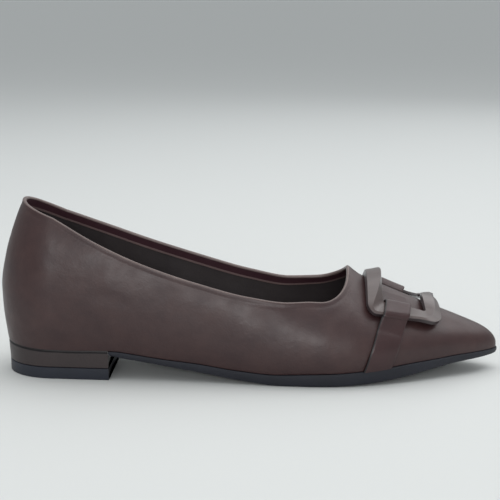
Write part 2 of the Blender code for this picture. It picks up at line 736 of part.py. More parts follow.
def main():
    for obj in list(bpy.data.objects):
        bpy.data.objects.remove(obj, do_unlink=True)
    build_upper()
    build_heel()
    build_outsole()
    build_insole()
    build_ring()
    for side in STRAP_ROWS:
        build_strap(side)


main()
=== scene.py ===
"""The looks of the pointed flat: leather, lining, sole, heel, ring and straps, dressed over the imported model.

The frame is the model's: +X from heel to toe, +Y medial, +Z up, origin in the middle of the heel's foot.
The sizes, tables and shape functions are the ones that the model was built from.
"""

import math

import bmesh
import bpy
import numpy as np
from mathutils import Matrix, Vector


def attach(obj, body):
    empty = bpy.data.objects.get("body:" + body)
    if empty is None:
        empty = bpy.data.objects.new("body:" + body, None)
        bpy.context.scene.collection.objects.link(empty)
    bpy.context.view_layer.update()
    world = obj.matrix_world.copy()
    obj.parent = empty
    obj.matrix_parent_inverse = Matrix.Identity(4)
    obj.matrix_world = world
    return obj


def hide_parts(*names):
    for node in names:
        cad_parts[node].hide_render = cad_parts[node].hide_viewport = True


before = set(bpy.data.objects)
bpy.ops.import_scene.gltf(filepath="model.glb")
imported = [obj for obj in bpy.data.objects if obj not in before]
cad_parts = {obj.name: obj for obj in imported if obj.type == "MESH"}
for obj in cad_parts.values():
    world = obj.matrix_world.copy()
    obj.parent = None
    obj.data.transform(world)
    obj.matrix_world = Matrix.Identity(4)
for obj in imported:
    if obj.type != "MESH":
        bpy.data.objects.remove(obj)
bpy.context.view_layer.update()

# Driving sizes, in metres
LENGTH = 0.252  # back of the counter to the tip of the toe
BALL_WIDTH = 0.076  # the width that the plan's shares are taken of
HEEL_HEIGHT = 0.0165  # floor to the seat, at the back
TOE_SPRING = 0.0087  # floor to the sole under the toe's tip
COLLAR_HEIGHT = 0.0874  # floor to the top line, at the back
INSTEP_HEIGHT = 0.0515  # floor to the ridge at the throat
TOE_WALL = 0.0014  # height of the upper's wall at the very tip
WALL = 0.0017  # leather and lining together
CLEARANCE = 0.0003  # between pieces that meet

SOLE_THICKNESS = 0.0068  # outsole at the ball
SOLE_RIM = 0.0006  # how far the outsole stands out past the upper
SOLE_BEVEL = 0.0012  # outsole's lower edge
LIFT_BEVEL = 0.0004  # top lift's lower edge
INSOLE_THICKNESS = 0.0030

HEEL_CENTRE = 0.0297  # from the back of the counter to the middle of the heel's curve
HEEL_BREAST = 0.0565  # from the back of the counter to the heel's front face
HEEL_SET_BACK = 0.0275  # plan radius of the seat's edge at the back
COUNTER_BULGE = 0.0022  # how far the counter stands out past the seat at the back
COUNTER_BULGE_AT = 0.0285  # height of that above the seat
COUNTER_RIDGE = 0.1110  # floor to where the counter's arch would close, over the heel's centre
COUNTER_ARCH = 1.42  # exponent of that arch
TOP_LIFT = 0.0058
BREAST_HOLLOW = 0.0016
HEEL_DRAFT = 0.0006  # how much the heel narrows from seat to top lift, each side

THROAT = 0.698  # station of the throat
THROAT_ROUND = 0.024  # length of the throat's curve
THROAT_SQUARE = 3.2  # exponent of the throat's curve, 2 is an ellipse

# Station, then the lateral edge, the medial edge and the ridge, as shares of BALL_WIDTH
PLAN_ROWS = [
    (0.118, -0.322, 0.322, 0.000),
    (0.20, -0.340, 0.332, 0.000),
    (0.30, -0.350, 0.318, 0.005),
    (0.40, -0.370, 0.322, 0.015),
    (0.50, -0.405, 0.365, 0.035),
    (0.58, -0.435, 0.425, 0.055),
    (0.64, -0.445, 0.480, 0.070),
    (0.70, -0.430, 0.515, 0.080),
    (0.75, -0.392, 0.510, 0.085),
    (0.80, -0.335, 0.470, 0.085),
    (0.86, -0.250, 0.385, 0.085),
    (0.92, -0.150, 0.280, 0.080),
    (0.96, -0.078, 0.205, 0.075),
    (0.985, -0.015, 0.145, 0.070),
    (1.00, 0.068, 0.068, 0.068),
]
# Station, underside as a share of HEEL_HEIGHT, and of TOE_SPRING, and outsole as a share of SOLE_THICKNESS
SOLE_ROWS = [
    (0.00, 1.00, 0.00, 0.00),
    (0.118, 0.92, 0.00, 0.00),
    (0.21, 0.82, 0.00, 0.25),
    (0.25, 0.70, 0.00, 0.48),
    (0.32, 0.52, 0.00, 0.52),
    (0.40, 0.325, 0.00, 0.66),
    (0.48, 0.125, 0.00, 0.74),
    (0.56, 0.00, 0.00, 0.86),
    (0.66, 0.00, 0.00, 1.00),
    (0.72, 0.00, 0.08, 1.02),
    (0.80, 0.00, 0.31, 0.99),
    (0.86, 0.00, 0.60, 0.78),
    (0.92, 0.00, 0.84, 0.60),
    (1.00, 0.00, 1.00, 0.43),
]
# Station, ridge height as a share of INSTEP_HEIGHT, bulge of the lateral and medial walls and height of the
# bulge as shares of BALL_WIDTH, and the exponent of the arch, where 2 is an ellipse and less is steeper
FORM_ROWS = [
    (0.118, 1.95, 0.050, 0.050, 0.330, 1.85),
    (0.22, 1.87, 0.050, 0.044, 0.280, 1.90),
    (0.32, 1.75, 0.044, 0.038, 0.230, 1.95),
    (0.42, 1.57, 0.038, 0.033, 0.185, 1.95),
    (0.52, 1.36, 0.036, 0.033, 0.150, 1.90),
    (0.60, 1.17, 0.034, 0.033, 0.125, 1.82),
    (0.698, 1.014, 0.030, 0.032, 0.110, 1.74),
    (0.722, 0.930, 0.028, 0.031, 0.108, 1.73),
    (0.76, 0.842, 0.024, 0.028, 0.105, 1.72),
    (0.82, 0.720, 0.018, 0.022, 0.090, 1.76),
    (0.88, 0.603, 0.012, 0.015, 0.070, 1.90),
    (0.94, 0.490, 0.007, 0.008, 0.045, 2.20),
    (0.98, 0.398, 0.003, 0.003, 0.022, 2.30),
    (1.00, None, 0.0, 0.0, 0.010, 2.20),
]
# Station, then the top line's height on the lateral and medial sides, as shares of COLLAR_HEIGHT
TOP_ROWS = [
    (0.118, 0.919, 0.892),
    (0.20, 0.790, 0.804),
    (0.30, 0.662, 0.704),
    (0.40, 0.567, 0.614),
    (0.50, 0.495, 0.527),
    (0.58, 0.465, 0.481),
    (0.64, 0.470, 0.485),
    (0.698, 0.530, 0.535),
]

# The ring on the vamp, a link of lacquered board bent over it like a saddle
RING_FROM_THROAT = 0.0079  # from the throat to the ring's rear edge
RING_LENGTH = 0.0368  # from there to its front edge
RING_BACK_WIDTH = 0.0520
RING_FRONT_WIDTH = 0.0400
RING_BACK_CENTRE = 0.0015  # how far medial its middle lies at the rear edge
RING_FRONT_CENTRE = 0.0035  # the same at the front edge
RING_BARS = {"back": 0.0082, "front": 0.0070, "side": 0.0068}  # width of its bars
RING_RIDGES = {"back": 0.0014, "front": 0.0056, "side": 0.0011}  # from the outer edge in to a bar's ridge
RING_SWEEP = 0.0046  # how much further forward the ridge runs at the bars' middle than at their ends
RING_HOLLOW = 0.0016  # how far back the opening's edges sweep at the bars' middle
RING_THICKNESS = 0.0026  # at the ridge
RING_CROWN = 0.0041  # how much thicker the rear bar is at its middle
RING_WALL = 0.0022  # thickness left at the outer edge
RING_EDGE = 0.0014  # thickness left at the opening's edge
RING_CORNER = 0.0050  # radius of its outer corners
RING_INNER_CORNER = 0.0014
# Share of the ring's length, then the gap under its lateral side, middle and medial side, in ring thicknesses
RING_ROWS = [
    (0.0, 0.60, 0.60, 0.70),
    (0.55, 1.25, 0.75, 0.15),
    (0.75, 1.65, 0.60, 0.80),
    (1.0, 2.10, 0.40, 4.30),
]

# A strap each side, from the sole's edge over the ring's side bar and down into its window
STRAP_WIDTH = 0.0127
STRAP_THICKNESS = 0.0012
STRAP_DIVE = 0.0030  # from the bar's inner edge to where a strap reaches the upper
STRAP_RELEASE = 0.0030  # how far outside the ring the strap leaves the upper
STRAP_LIFT = 0.0004  # how far it has risen by then
# By side: how far from the ring's rear edge the strap's middle crosses the bar, its lean (run back over drop)
# and how far it runs on past where it reaches the upper
STRAP_ROWS = {
    -1: {"at_ring": 0.0142, "lean": 0.33, "tail": 0.0090},
    1: {"at_ring": 0.0142, "lean": 0.24, "tail": 0.0020},
}
FOOT_SHARE = 0.2  # share of a section's parameter that its foot, below the bulge, takes


def nose(station):
    """The station in a measure that runs faster towards the toe's tip, so that curves are round there."""
    return 1 - np.sqrt(np.clip(1 - np.asarray(station, float), 0, 1))


def curve(rows, column, station):
    """A smooth curve through one column of a table, with no overshoot between its rows (PCHIP)."""
    x = nose([row[0] for row in rows])
    y = np.array([row[column] for row in rows], float)
    run, slope = np.diff(x), np.diff(y) / np.diff(x)
    tangent = np.concatenate([[slope[0]], np.zeros(len(x) - 2), [slope[-1]]])
    for i in range(1, len(x) - 1):
        if slope[i - 1] * slope[i] > 0:
            a, b = 2 * run[i] + run[i - 1], run[i] + 2 * run[i - 1]
            tangent[i] = (a + b) / (a / slope[i - 1] + b / slope[i])
    at = np.clip(nose(station), x[0], x[-1])
    i = np.clip(np.searchsorted(x, at, side="right") - 1, 0, len(x) - 2)
    t = (at - x[i]) / run[i]
    return (
        (1 + 2 * t) * (1 - t) ** 2 * y[i]
        + t * (1 - t) ** 2 * run[i] * tangent[i]
        + t * t * (3 - 2 * t) * y[i + 1]
        + t * t * (t - 1) * run[i] * tangent[i + 1]
    )


def between(low, high, share):
    return low * (1 - share) + high * share


def blend(low, high, at):
    """0 below low, 1 above high, and smooth between."""
    t = np.clip((np.asarray(at, float) - low) / (high - low), 0, 1)
    return t * t * (3 - 2 * t)


def underside(s):
    """Height of the sole's underside, s metres from the back."""
    return curve(SOLE_ROWS, 1, s / LENGTH) * HEEL_HEIGHT + curve(SOLE_ROWS, 2, s / LENGTH) * TOE_SPRING


def seat(s):
    """Height of the surface that the upper and insole stand on."""
    return underside(s) + curve(SOLE_ROWS, 3, s / LENGTH) * SOLE_THICKNESS


def edge(s, side):
    """Y of the upper's lower edge on one side, -1 lateral and 1 medial."""
    return curve(PLAN_ROWS, 1 if side < 0 else 2, s / LENGTH) * BALL_WIDTH


def ridge(s):
    """Y of the ridge, where the two sides of the last meet."""
    return curve(PLAN_ROWS, 3, s / LENGTH) * BALL_WIDTH


def ridge_height(s):
    tip = (seat(LENGTH) + TOE_WALL) / INSTEP_HEIGHT
    rows = [row if row[1] is not None else (row[0], tip) for row in FORM_ROWS]
    return curve([row[:2] for row in rows], 1, s / LENGTH) * INSTEP_HEIGHT


def form(s, side):
    """Bulge of the wall, its height above the seat, the arch's rise above that, and its exponent."""
    share = s / LENGTH
    bulge = curve(FORM_ROWS, 2 if side < 0 else 3, share) * BALL_WIDTH
    bulge_at = curve(FORM_ROWS, 4, share) * BALL_WIDTH
    return bulge, bulge_at, ridge_height(s) - seat(s) - bulge_at, curve(FORM_ROWS, 5, share)


def arch(t, width, bulge, bulge_at, rise, exponent):
    """(out, up) on a half-section: a foot that bulges, from t 0, then a superellipse to the ridge, t 1."""
    low = np.clip(t / FOOT_SHARE, 0, 1)
    angle = np.clip((t - FOOT_SHARE) / (1 - FOOT_SHARE), 0, 1) * math.pi / 2
    power = 2 / exponent
    out = np.where(
        t < FOOT_SHARE,
        width + bulge * (1 - (1 - low) ** 2),
        (width + bulge) * np.abs(np.cos(angle)) ** power,
    )
    up = np.where(t < FOOT_SHARE, bulge_at * low, bulge_at + rise * np.sin(angle) ** power)
    return out, up


def last(s, t, side):
    """A point of the outer surface forward of the heel's centre: s metres from the back, t up one side."""
    s, t = np.broadcast_arrays(np.asarray(s, float), np.asarray(t, float))
    out, up = arch(t, np.abs(edge(s, side) - ridge(s)), *form(s, side))
    return np.stack([s, ridge(s) + side * out, seat(s) + up], -1)


def counter_form(turn, side):
    """The seat's height round the back, then what form() gives."""
    back = np.sin(turn) ** 2
    bulge, bulge_at, _, exponent = form(HEEL_CENTRE, side)
    seat_here = between(seat(HEEL_CENTRE), HEEL_HEIGHT, back)
    bulge_at_here = between(bulge_at, COUNTER_BULGE_AT, back)
    rise_here = between(ridge_height(HEEL_CENTRE), COUNTER_RIDGE, back) - seat_here - bulge_at_here
    bulge_here = between(bulge, COUNTER_BULGE, back)
    return seat_here, bulge_here, bulge_at_here, rise_here, between(exponent, COUNTER_ARCH, back)


def counter(turn, t, side):
    """A point of the outer surface round the back: turn 0 at the heel's centre, pi / 2 at the very back."""
    turn, t = np.broadcast_arrays(np.asarray(turn, float), np.asarray(t, float))
    seat_here, *shape = counter_form(turn, side)
    width = between(np.abs(edge(HEEL_CENTRE, side)), HEEL_SET_BACK, np.sin(turn) ** 2)
    out, up = arch(t, width, *shape)
    return np.stack([HEEL_CENTRE - out * np.sin(turn), side * out * np.cos(turn), seat_here + up], -1)


def arch_parameter(height, bulge_at, rise, exponent):
    """The t at which a half-section reaches a height above the seat."""
    share = np.clip((height - bulge_at) / rise, 0, 1) ** (exponent / 2)
    return FOOT_SHARE + (1 - FOOT_SHARE) * np.arcsin(share) / (math.pi / 2)


def top_parameter(s, side):
    """The t of the top line, forward of the heel's centre."""
    s = np.asarray(s, float)
    height = curve(TOP_ROWS, 1 if side < 0 else 2, s / LENGTH) * COLLAR_HEIGHT
    bulge, bulge_at, rise, exponent = form(s, side)
    width = np.abs(edge(s, side) - ridge(s))
    by_height = arch_parameter(height - seat(s), bulge_at, rise, exponent)
    start = THROAT * LENGTH - THROAT_ROUND
    wide = last(start, top_of_wall(start, side), side)[..., 1] - ridge(start)
    along = np.clip((s - start) / THROAT_ROUND, 0, 1)
    out = np.abs(wide) * (1 - along**THROAT_SQUARE) ** (1 / THROAT_SQUARE)
    angle = np.arccos(np.clip(out / (width + bulge), 0, 1) ** (exponent / 2))
    by_plan = FOOT_SHARE + (1 - FOOT_SHARE) * angle / (math.pi / 2)
    share = blend(start, start + 0.6 * THROAT_ROUND, s)
    return between(by_height, by_plan, share)


def top_of_wall(s, side):
    """The t at which the wall reaches the height that TOP_ROWS gives."""
    height = curve(TOP_ROWS, 1 if side < 0 else 2, s / LENGTH) * COLLAR_HEIGHT
    _, bulge_at, rise, exponent = form(s, side)
    return arch_parameter(height - seat(s), bulge_at, rise, exponent)


def counter_top(turn, side):
    """The t of the top line round the back."""
    start = curve(TOP_ROWS, 1 if side < 0 else 2, HEEL_CENTRE / LENGTH) * COLLAR_HEIGHT
    height = start + (COLLAR_HEIGHT - start) * np.sin(turn)
    seat_here, _, *shape = counter_form(turn, side)
    return arch_parameter(height - seat_here, *shape)


def unit(v):
    return v / np.linalg.norm(v, axis=-1, keepdims=True)


def outward(s, t, side):
    """Unit normal of the upper's outer surface forward of the heel's centre."""
    ds, dt = 1e-5, 1e-4
    along = last(s + ds, t, side) - last(s - ds, t, side)
    up = last(s, np.minimum(t + dt, 1), side) - last(s, np.maximum(t - dt, 0), side)
    return unit(np.cross(along, up)) * -side


def parameter_at(s, y):
    """The t and side of the upper's surface over a point in plan, on its arch."""
    side = -1 if y < ridge(s) else 1
    bulge, _, _, exponent = form(s, side)
    share = np.clip(abs(y - ridge(s)) / (np.abs(edge(s, side) - ridge(s)) + bulge), 0, 1)
    return FOOT_SHARE + (1 - FOOT_SHARE) * float(np.arccos(share ** (exponent / 2))) / (math.pi / 2), side


def upper_height(s, y):
    t, side = parameter_at(s, y)
    return float(last(s, t, side)[..., 2])


# The ring's own measure: p runs forward from its rear edge and q across it from its middle


def ring_back():
    """How far the ring's rear edge is from the back of the counter."""
    return THROAT * LENGTH + RING_FROM_THROAT


def ring_half(p):
    return (RING_BACK_WIDTH + (RING_FRONT_WIDTH - RING_BACK_WIDTH) * p / RING_LENGTH) / 2


def ring_gap(column, p):
    """The gap under the ring's lateral side, middle or medial side."""
    return float(curve(RING_ROWS, column, p / RING_LENGTH)) * RING_THICKNESS


def ring_base(p, q):
    """A point of the ring's underside: an arc over the upper, through the gaps under its middle and sides."""
    s = ring_back() + p
    half = ring_half(p)
    centre = RING_BACK_CENTRE + (RING_FRONT_CENTRE - RING_BACK_CENTRE) * p / RING_LENGTH
    lateral = upper_height(s, centre - half) + ring_gap(1, p)
    middle = upper_height(s, centre) + ring_gap(2, p)
    medial = upper_height(s, centre + half) + ring_gap(3, p)
    v = q / half
    z = middle + (medial - lateral) / 2 * v + ((medial + lateral) / 2 - middle) * v * v
    return np.array([s, centre + q, z])


def ring_point(p, q, height):
    """The same, raised at right angles to the underside."""
    d = 1e-4
    along = ring_base(p + d, q) - ring_base(p - d, q)
    across = ring_base(p, q + d) - ring_base(p, q - d)
    return ring_base(p, q) + unit(np.cross(along, across)) * height


def ring_loop(insets, corner, height, sweep=0.0, crown=0.0):
    """A closed loop round the ring, inset from its outer edge and raised from its underside, as points."""
    first, final = insets["back"], RING_LENGTH - insets["front"]
    sides, turns = RING_STEPS
    corners = []
    for p_end, q_end, quarter in ((1, 1, 0), (0, 1, 1), (0, -1, 2), (1, -1, 3)):
        for i in range(turns + 1):
            angle = math.pi / 2 * (quarter + i / turns)
            p = (final - corner if p_end else first + corner) + corner * math.cos(angle)
            q = q_end * (ring_half(p) - insets["side"] - corner) + corner * math.sin(angle)
            corners.append((p, q))
    route = []
    for i, (p, q) in enumerate(corners):
        route.append((p, q))
        if i % (turns + 1) == turns:
            p_next, q_next = corners[(i + 1) % len(corners)]
            route += [(p + (p_next - p) * k / sides, q + (q_next - q) * k / sides) for k in range(1, sides)]
    points = []
    for p, q in route:
        middle = 1 - min(abs(q) / (ring_half(p) - insets["side"]), 1) ** 2
        rear = 1 - p / RING_LENGTH
        points.append(ring_point(p + sweep * middle * (0.6 + 0.4 * rear), q, height + crown * middle * rear))
    return points


def strap_path(side, offset):
    """A lengthwise line of a strap's underside, foot to tail, offset along the shoe from its middle."""
    row = STRAP_ROWS[side]
    p = row["at_ring"] + offset
    crest = ring_point(p, side * (ring_half(p) - RING_RIDGES["side"]), RING_THICKNESS)[2]

    def over_ring(inset, height):
        z = ring_point(p, side * (ring_half(p) - inset), height)[2]
        back = row["lean"] * (crest - z)
        return ring_point(p - back, side * (ring_half(p - back) - inset), height + CLEARANCE)

    edge_point = ring_base(p, side * (ring_half(p) + STRAP_RELEASE))
    release, _ = parameter_at(*edge_point[:2])
    points = []
    for share in np.linspace(0, 1, 9):
        t = release * share
        s = ring_back() + p
        for _ in range(4):
            s = ring_back() + p - row["lean"] * (crest - float(last(s, t, side)[..., 2]))
        away = outward(s, t, side)
        if share == 0:
            away = unit(away * [1, 1, 0])
        points.append(last(s, t, side) + away * (CLEARANCE + STRAP_LIFT * share**2))
    points.append(over_ring(-0.0009, RING_WALL * 0.5))
    points.append(over_ring(-0.0005, RING_WALL - 0.0001))
    points.append(over_ring(0.0004, RING_THICKNESS + 0.0001))
    points.append(over_ring(RING_RIDGES["side"] + 0.0006, RING_THICKNESS + 0.0001))
    points.append(over_ring(RING_BARS["side"] + 0.0003, RING_EDGE + 0.0002))
    for run in (0.0, 1.0):
        plan = ring_base(p, side * (ring_half(p) - RING_BARS["side"] - STRAP_DIVE - row["tail"] * run))
        t, own = parameter_at(*plan[:2])
        points.append(last(plan[0], t, own) + outward(plan[0], t, own) * CLEARANCE)
    return points


def in_frame(points):
    """From metres forward of the back to the part's frame, whose origin is the middle of the heel's foot."""
    return np.asarray(points) - [HEEL_CENTRE, 0, 0]


# Sizes that only the looks need

TURN_RUN = 0.0235  # metres of run that stand for a radian round the back
LINING_OFFSET = 0.00135  # from the outer surface in to the lining
FACING_DEPTH = 0.0046  # width of the facing inside the collar
FACING_STEP = 0.0009  # metres between the facing's rows
# The facing's cut edge: how far on each point lies, and how far past the wall
FACING_LIP = ((0.00025, 0.00002), (0.00042, -0.00018), (0.00042, -0.0005))
ROLL_WIDTH = 0.0020  # thickness of the turned edge round the collar
ROLL_STEPS = 11
FOOT_TURN = 0.0013  # how far the upper's foot turns in under its edge
FOOT_RISE = 0.0001
INSOLE_END = 0.003  # how far short of the toe's tip the insole's own tip stays
RING_STEPS = (22, 7)  # steps along each side of the ring, and round each corner
RING_BEVEL = 0.00020
STRAP_STEPS = 90
STRAP_EDGE_LOSS = 0.35  # share of its thickness that a strap loses at its edges
STRAP_TAIL_LOSS = 0.5  # the same at its tail

# Depth, distance from the line and half-width of the troughs along the seam up the back and the top line
SEAM_TROUGHS = ((0.00022, 0.0, 0.00035), (-0.00008, 0.0012, 0.0007))
COLLAR_TROUGHS = ((-0.00022, 0.0, 0.0012), (0.00012, 0.0021, 0.0006))
# How far out from the edge and up each ring of points lies: the heel's seam, and the channel under the sole
HEEL_SEAM = ((-0.0001, 0.0012), (-0.0004, 0.0008), (-0.0007, 0.0006), (-0.0008, 0.0))
SOLE_CHANNEL = ((-0.0046, 0), (-0.0042, 0.0003), (-0.0038, 0.0003), (-0.0034, 0))

# Columns of points: the upper's round the back, along the quarter, round the throat and over the vamp, then
# the slabs'. The crowding is an exponent that draws columns towards the toe's tip
UPPER_COLUMNS = (44, 120, 60, 110)
FAN_COLUMNS = 30
SHANK_COLUMNS = 14
FOREPART_COLUMNS = 90
BREAST_COLUMNS = 20
VAMP_CROWDING = 1.7
SLAB_CROWDING = 1.6
OUTER_SHARES = np.array([0, 0.02, 0.05, *np.linspace(0.09, 0.95, 41), 0.962, 0.972, 0.98, 0.987, 0.994, 1])
LINING_ROWS = [0, 3, 8, 13, 18, 23, 28, 33, 38, 42, 46, -1]  # the outer rows that the lining has too
CALM_LIMIT = 1.15  # how far past the top line the calm rows may reach
WELD = 1e-6

# Angles in degrees past which an edge stays sharp
SHARP = {"upper": 50, "facing": 70, "lining": 60, "slab": 35, "ring": 20, "ring_bevel": 14, "strap": 40}


def surface(run, t, side):
    """A point of the outer surface: run metres forward of the heel's centre, and below 0 round the back."""
    run, t = np.broadcast_arrays(np.asarray(run, float), np.asarray(t, float))
    ahead = last(HEEL_CENTRE + np.maximum(run, 0), t, side)
    behind = counter(np.maximum(-run, 0) / TURN_RUN, t, side)
    return np.where(run[..., None] < 0, behind, ahead)


def slopes(run, t, side):
    """The surface's two tangents, forward and up, per metre of run and per unit of t."""
    dr, dt = 1e-5, 1e-4
    low, high = np.maximum(t - dt, 0), np.minimum(t + dt, 1)
    forward = (surface(run + dr, t, side) - surface(run - dr, t, side)) / (2 * dr)
    up = (surface(run, high, side) - surface(run, low, side)) / (high - low)[..., None]
    return forward, up


def top_at(run, side):
    """The t of the top line at a run."""
    run = np.asarray(run, float)
    ahead = top_parameter(np.minimum(HEEL_CENTRE + np.maximum(run, 0), THROAT * LENGTH), side)
    return np.where(run < 0, counter_top(np.clip(-run / TURN_RUN, 0, math.pi / 2), side), ahead)


def column_runs(back, quarter, round_throat, vamp):
    """Runs of the upper's columns from the very back to the toe's tip, and the index of the throat's."""
    throat = THROAT * LENGTH - HEEL_CENTRE
    start = throat - THROAT_ROUND
    runs = list(-TURN_RUN * math.pi / 2 * (1 - np.arange(back) / back))
    runs += list(np.linspace(0, start, quarter, endpoint=False))
    runs += list(throat - THROAT_ROUND * (1 - np.arange(round_throat) / round_throat) ** 2)
    rest = LENGTH - HEEL_CENTRE - throat
    runs += list(throat + rest * (1 - (1 - np.arange(vamp + 1) / vamp) ** VAMP_CROWDING))
    return np.array(runs), len(runs) - vamp - 1


def wall_grid(runs, shares, side):
    """The t of every point of the wall: one line for each run, one column for each share."""
    throat = THROAT * LENGTH
    s = HEEL_CENTRE + np.maximum(runs, 0)
    top = np.where(s < throat, top_at(runs, side), 1.0)
    calm = np.where(runs < 0, top, top_of_wall(np.minimum(s, throat), side))
    calm = calm + (1 - calm) * blend(throat - 2 * THROAT_ROUND, throat + THROAT_ROUND, s)
    calm = np.minimum(calm, CALM_LIMIT * top)
    shares = shares[None, :]
    return shares * (calm[:, None] + (top - calm)[:, None] * shares**3)


class Skin:
    """Points and faces gathered for one mesh."""

    def __init__(self):
        self.points = []
        self.faces = []
        self.slots = []

    def add(self, points):
        """Adds an array of points and returns their numbers in the same arrangement."""
        points = np.asarray(points, float)
        first = sum(len(p) for p in self.points)
        self.points.append(points.reshape(-1, 3))
        return first + np.arange(points[..., 0].size).reshape(points.shape[:-1])

    def join(self, grid, slot=0, flip=False):
        """Faces between neighbouring lines of a grid of point numbers."""
        quads = np.stack([grid[:-1, :-1], grid[1:, :-1], grid[1:, 1:], grid[:-1, 1:]], -1).reshape(-1, 4)
        if flip:
            quads = quads[:, ::-1]
        self.faces += quads.tolist()
        self.slots += [slot] * len(quads)

    def build(self, name, materials, angle):
        mesh = bmesh.new()
        verts = [mesh.verts.new(point) for point in np.concatenate(self.points)]
        for face, slot in zip(self.faces, self.slots):
            corners = []
            for i in face:
                if verts[i] not in corners:
                    corners.append(verts[i])
            if len(corners) > 2:
                mesh.faces.new(corners).material_index = slot
        bmesh.ops.remove_doubles(mesh, verts=mesh.verts, dist=WELD)
        loose = [v for v in mesh.verts if not v.link_faces]
        bmesh.ops.delete(mesh, geom=loose, context="VERTS")
        return finish_mesh(name, mesh, materials, angle)


def finish_mesh(name, mesh, materials, angle):
    data = bpy.data.meshes.new(name)
    mesh.to_mesh(data)
    mesh.free()
    data.shade_smooth()
    data.set_sharp_from_angle(angle=math.radians(angle))
    for material in materials:
        data.materials.append(material)
    obj = bpy.data.objects.new(name, data)
    bpy.context.collection.objects.link(obj)
    return obj


def vertex_normals(points, lines):
    """Smooth normals of points that one or more grids of their numbers join."""
    normals = np.zeros_like(points)
    for grid in lines:
        a, b, c, d = grid[:-1, :-1], grid[1:, :-1], grid[1:, 1:], grid[:-1, 1:]
        face = np.cross(points[c] - points[a], points[d] - points[b])
        for corner in (a, b, c, d):
            np.add.at(normals, corner.reshape(-1), face.reshape(-1, 3))
    return normals / np.maximum(np.linalg.norm(normals, axis=1, keepdims=True), 1e-12)


# Materials

GRAIN = 0.0008  # metres from pebble to pebble
GRAIN_DEPTH = 0.00007


def material(name, colour, roughness, **sockets):
    """A Principled material. Sockets are set by their plain names, with _ for a space."""
    made = bpy.data.materials.new(name)
    made.use_nodes = True
    shader = made.node_tree.nodes["Principled BSDF"]
    shader.inputs["Base Color"].default_value = (*colour, 1)
    shader.inputs["Roughness"].default_value = roughness
    for key, value in sockets.items():
        shader.inputs[key.replace("_", " ")].default_value = value
    return made, made.node_tree, shader


def node(tree, kind, inputs=None, **settings):
    made = tree.nodes.new(kind)
    for key, value in settings.items():
        setattr(made, key, value)
    for key, value in (inputs or {}).items():
        made.inputs[key].default_value = value
    return made


def noise(tree, coords, scale, detail, roughness=0.55):
    made = node(tree, "ShaderNodeTexNoise", {"Scale": scale, "Detail": detail, "Roughness": roughness})
    tree.links.new(coords, made.inputs["Vector"])
    return made.outputs["Fac"]


def ramp(tree, value, low, high):
    """A noise's value mapped from its middle range to another."""
    span = {"From Min": 0.3, "From Max": 0.7, "To Min": low, "To Max": high}
    made = node(tree, "ShaderNodeMapRange", span)
    tree.links.new(value, made.inputs["Value"])
    return made.outputs["Result"]


def mix_colour(tree, factor, first, second):
    made = node(tree, "ShaderNodeMix", data_type="RGBA")
    tree.links.new(factor, made.inputs["Factor"])
    for socket, colour in ((made.inputs[6], first), (made.inputs[7], second)):
        socket.default_value = (*colour, 1)
    return made.outputs[2]


def bump(tree, height, strength, distance, normal=None):
    made = node(tree, "ShaderNodeBump", {"Strength": strength, "Distance": distance})
    tree.links.new(height, made.inputs["Height"])
    if normal is not None:
        tree.links.new(normal, made.inputs["Normal"])
    return made.outputs["Normal"]


def leather(name, colour, second, roughness, **sockets):
    """Smooth leather: pores and fine pebbles in the bump, cloudy colour, and a gloss that varies."""
    made, tree, shader = material(name, colour, roughness, **sockets)
    coords = tree.nodes.new("ShaderNodeTexCoord").outputs["Object"]
    cloud = ramp(tree, noise(tree, coords, 70.0, 6.0, 0.68), 0, 1)
    tree.links.new(mix_colour(tree, cloud, colour, second), shader.inputs["Base Color"])
    gloss = ramp(tree, noise(tree, coords, 90.0, 2.0), roughness - 0.05, roughness + 0.06)
    tree.links.new(gloss, shader.inputs["Roughness"])
    pebbles = node(tree, "ShaderNodeTexVoronoi", {"Scale": 1 / GRAIN}, feature="SMOOTH_F1")
    tree.links.new(coords, pebbles.inputs["Vector"])
    fine = bump(tree, pebbles.outputs["Distance"], 0.35, GRAIN_DEPTH)
    soft = bump(tree, noise(tree, coords, 240.0, 3.0), 0.45, GRAIN_DEPTH * 4, fine)
    tree.links.new(soft, shader.inputs["Normal"])
    return made


def rubber(name, colour, second, roughness):
    made, tree, shader = material(name, colour, roughness, Specular_IOR_Level=0.4)
    coords = tree.nodes.new("ShaderNodeTexCoord").outputs["Object"]
    cloud = ramp(tree, noise(tree, coords, 60.0, 4.0), 0, 1)
    tree.links.new(mix_colour(tree, cloud, colour, second), shader.inputs["Base Color"])
    tree.links.new(bump(tree, noise(tree, coords, 2400.0, 2.0), 0.3, 0.00005), shader.inputs["Normal"])
    return made


def lacquer(name, colour, second, roughness):
    """Lacquered board: satin gloss over faintly streaked brown."""
    made, tree, shader = material(
        name, colour, roughness, Specular_IOR_Level=0.5, Coat_Weight=0.35, Coat_Roughness=0.28
    )
    coords = tree.nodes.new("ShaderNodeTexCoord").outputs["Object"]
    streaks = node(tree, "ShaderNodeMapping", {"Scale": (60.0, 240.0, 240.0)})
    tree.links.new(coords, streaks.inputs["Vector"])
    cloud = ramp(tree, noise(tree, streaks.outputs["Vector"], 1.0, 4.0), 0, 1)
    tree.links.new(mix_colour(tree, cloud, colour, second), shader.inputs["Base Color"])
    tree.links.new(bump(tree, noise(tree, coords, 500.0, 3.0), 0.15, 0.00006), shader.inputs["Normal"])
    return made


